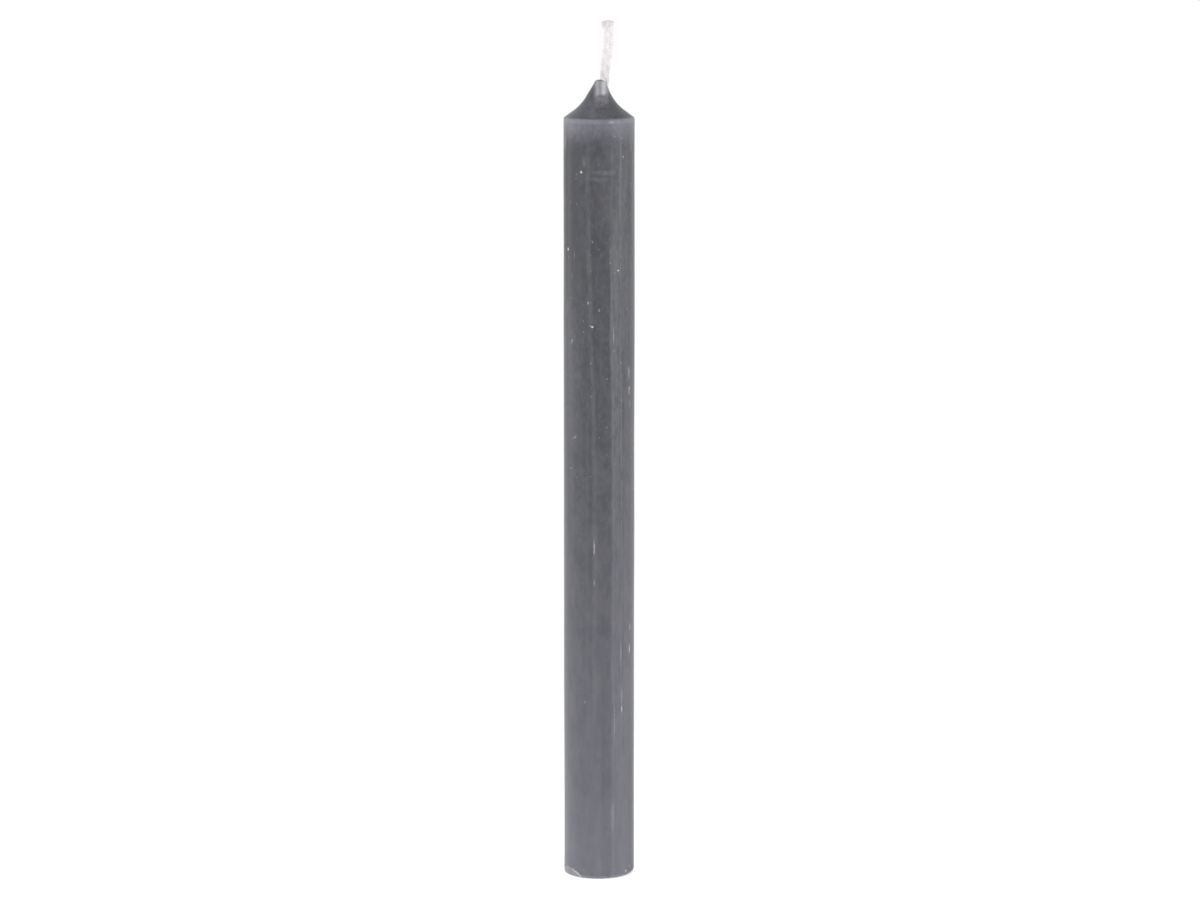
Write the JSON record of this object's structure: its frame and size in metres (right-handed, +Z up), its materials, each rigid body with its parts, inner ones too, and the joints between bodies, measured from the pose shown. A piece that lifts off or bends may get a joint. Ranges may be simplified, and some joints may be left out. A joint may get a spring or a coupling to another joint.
{
  "type": "dinner candle",
  "caption": "Straight-sided dinner candle of dark grey wax with a flared, pointed tip and a thick flat-braided cotton wick that leans to one side.",
  "frame": {"origin": "centre of the flat base, on the surface that the candle stands on", "axes": "+Z up along the candle's axis towards the tip; +X the way the wick leans; -Y towards the viewer of the picture"},
  "size_m": [0.022, 0.022, 0.2683],
  "materials": {
    "dyed_wax": "satin dark slate-grey dyed wax, with a light bloom towards the base",
    "cotton_wick": "flat-braided white cotton yarn, primed with wax"
  },
  "bodies": {
    "root": {"wax_body": "dyed_wax", "wick": "cotton_wick"}
  },
  "joints": []
}
